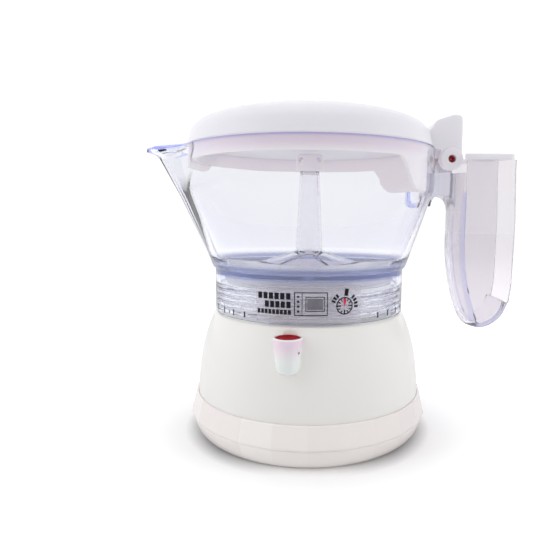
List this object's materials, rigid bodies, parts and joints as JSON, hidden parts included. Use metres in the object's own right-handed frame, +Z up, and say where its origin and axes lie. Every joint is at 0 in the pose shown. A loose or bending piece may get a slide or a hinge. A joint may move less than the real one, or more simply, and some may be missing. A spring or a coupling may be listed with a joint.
{
  "type": "microwave coffee maker",
  "caption": "Table-top moka-style coffee maker for a microwave: domed water base with a grip band, screw-on clear jug with beak spout, hollow handle and hinged lid.",
  "frame": {"origin": "centre of the flat foot on the table", "axes": "+Z up; +X towards the handle, -X towards the spout; -Y is the front, with the label and the valve"},
  "size_m": [0.1898, 0.1284, 0.1664],
  "materials": {
    "ivory_plastic": "glossy, warm ivory",
    "band_plastic": "satin gloss, slightly pink ivory",
    "frosted_plastic": "frosted translucent",
    "riser_plastic": "lightly frosted, see-through",
    "milky_plastic": "milky translucent, soft gloss",
    "clear_plastic": "clear with a faint blue tint",
    "label_film": "printed frosted panel",
    "grey_silicone": "matte silicone",
    "red_silicone": "matte silicone, bright red",
    "red_plastic": "dark red"
  },
  "bodies": {
    "base": {"base_tray": "band_plastic", "base_housing": "ivory_plastic", "water_tank": "frosted_plastic", "tank_thread": "frosted_plastic", "valve_shroud": "ivory_plastic", "valve_body": "ivory_plastic", "filter_funnel": "frosted_plastic", "funnel_screen": "milky_plastic"},
    "valve": {"valve_plug": "red_silicone"},
    "seal": {"filter_plate": "milky_plastic", "gasket": "grey_silicone"},
    "jug": {"jug_body": "clear_plastic", "jug_thread": "clear_plastic", "collar_label": "label_film", "riser_column": "riser_plastic", "column_cap": "riser_plastic", "handle": "clear_plastic", "handle_cover": "milky_plastic"},
    "lid": {"lid_dome": "milky_plastic", "lid_liner": "milky_plastic", "hinge_pin": "red_plastic"}
  },
  "joints": [
    {"name": "jug_rise", "type": "slide", "parent": "base", "child": "seal", "axis": [0, 0, 1], "range_m": [0, 0.0121]},
    {"name": "jug_turn", "type": "hinge", "parent": "seal", "child": "jug", "pos_m": [0, 0, 0.08], "axis": [0, 0, 1], "range_deg": [0, 720]},
    {"name": "lid_hinge", "type": "hinge", "parent": "jug", "child": "lid", "pos_m": [0.072, 0, 0.1416], "axis": [0, 1, 0], "range_deg": [0, 95]},
    {"name": "valve_lift", "type": "slide", "parent": "base", "child": "valve", "axis": [0, 0, 1], "range_m": [0, 0.0025], "stiffness_N_per_m": 150}
  ],
  "couplings": [
    {"joint": "jug_rise", "follows": "jug_turn", "m_per_rad": 0.00095493}
  ]
}
